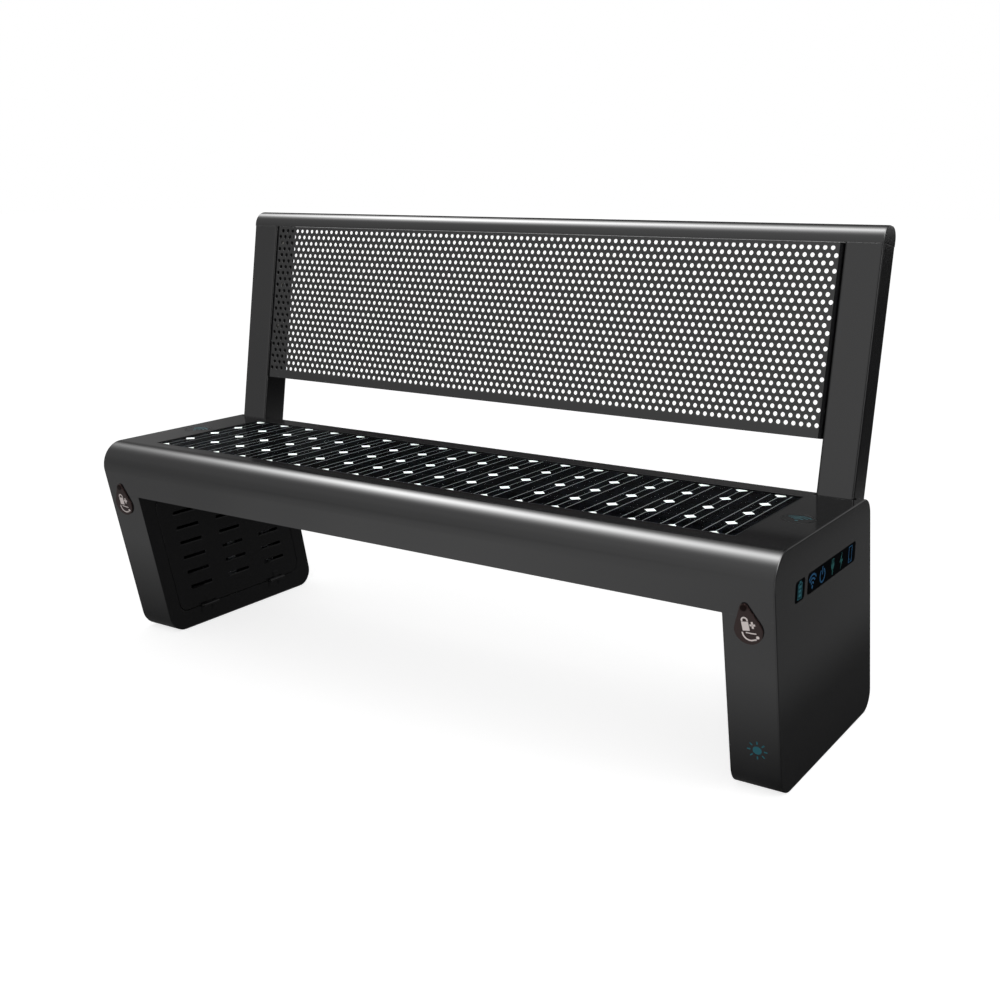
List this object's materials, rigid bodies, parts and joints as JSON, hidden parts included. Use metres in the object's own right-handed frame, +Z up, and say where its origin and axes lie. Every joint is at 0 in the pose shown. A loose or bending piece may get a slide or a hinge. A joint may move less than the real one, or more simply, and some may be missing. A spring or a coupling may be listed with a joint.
{
  "type": "solar charging bench",
  "caption": "Dark powder-coated steel bench with a solar panel in the seat, a leaning perforated back, charging discs and sockets, and louvred doors inside the legs.",
  "frame": {"origin": "on the ground, halfway along the bench and halfway between its foremost and rearmost points", "axes": "+X along the bench towards the end with the indicator windows, +Z up, -Y towards the front"},
  "size_m": [1.556, 0.5574, 0.9338],
  "materials": {
    "coated_steel": "satin",
    "bright_steel": "satin",
    "zinc_steel": "matte",
    "aluminium": "satin",
    "solar_glass": "gloss",
    "solar_cells": "gloss",
    "white_laminate": "satin",
    "black_rubber": "matte",
    "smoked_window": "gloss",
    "green_board": "matte",
    "black_plastic": "satin",
    "blue_plastic": "satin",
    "grey_plastic": "satin"
  },
  "bodies": {
    "frame": {"backrest_post_left": "coated_steel", "backrest_post_right": "coated_steel", "base_plates": "zinc_steel", "battery": "black_plastic", "battery_strap": "zinc_steel", "battery_tray": "zinc_steel", "cable_conduit": "grey_plastic", "charge_controller": "blue_plastic", "charging_coils": "black_plastic", "conduit_saddles": "grey_plastic", "cover_pivots": "bright_steel", "cross_bars": "zinc_steel", "door_hinges_left": "coated_steel", "door_hinges_right": "coated_steel", "end_panel_left": "coated_steel", "end_panel_right": "coated_steel", "equipment_plate": "zinc_steel", "hinge_pins": "bright_steel", "indicator_lamps": "white_laminate", "indicator_strip": "smoked_window", "indicator_window": "smoked_window", "inner_panel_left": "coated_steel", "inner_panel_right": "coated_steel", "junction_box": "black_plastic", "lamp_board": "green_board", "leg_columns": "zinc_steel", "leg_skin_left": "coated_steel", "leg_skin_right": "coated_steel", "panel_frame": "aluminium", "panel_gasket": "black_rubber", "perforated_sheet": "coated_steel", "post_bolts": "bright_steel", "post_end_plates": "zinc_steel", "post_feet": "zinc_steel", "power_converter": "aluminium", "rail_end_caps": "coated_steel", "rear_skin": "coated_steel", "seat_rail_front": "zinc_steel", "seat_rail_rear": "zinc_steel", "seat_skin": "coated_steel", "sheet_edge_left": "coated_steel", "sheet_edge_right": "coated_steel", "sheet_hem": "coated_steel", "sheet_screws": "bright_steel", "sheet_spacers": "black_rubber", "solar_backsheet": "white_laminate", "solar_cells": "solar_cells", "solar_glass": "solar_glass", "top_rail": "coated_steel", "underside_tray": "coated_steel", "usb_socket_left": "black_plastic", "usb_socket_right": "black_plastic", "wireless_pad_left": "black_plastic", "wireless_pad_right": "black_plastic"},
    "door_left": {"louvred_door_left": "coated_steel"},
    "door_right": {"louvred_door_right": "coated_steel"},
    "lock_left": {"door_lock_left": "bright_steel"},
    "lock_right": {"door_lock_right": "bright_steel"},
    "cover_left": {"port_cover_left": "black_plastic"},
    "cover_right": {"port_cover_right": "black_plastic"}
  },
  "joints": [
    {"name": "door_left_hinge", "type": "hinge", "parent": "frame", "child": "door_left", "pos_m": [-0.682, 0, 0.044], "axis": [0, 1, 0], "range_deg": [0, 98]},
    {"name": "door_right_hinge", "type": "hinge", "parent": "frame", "child": "door_right", "pos_m": [0.682, 0, 0.044], "axis": [0, -1, 0], "range_deg": [0, 98]},
    {"name": "lock_left_turn", "type": "hinge", "parent": "door_left", "child": "lock_left", "pos_m": [-0.6865, -0.02381, 0.31], "axis": [1, 0, 0], "range_deg": [0, 90]},
    {"name": "lock_right_turn", "type": "hinge", "parent": "door_right", "child": "lock_right", "pos_m": [0.6865, -0.02381, 0.31], "axis": [1, 0, 0], "range_deg": [0, 90]},
    {"name": "cover_left_swing", "type": "hinge", "parent": "frame", "child": "cover_left", "pos_m": [-0.7375, -0.27009, 0.356], "axis": [0, -0.9759, -0.2181], "range_deg": [0, 100]},
    {"name": "cover_right_swing", "type": "hinge", "parent": "frame", "child": "cover_right", "pos_m": [0.7255, -0.27009, 0.356], "axis": [0, 0.9759, 0.2181], "range_deg": [0, 100]}
  ]
}
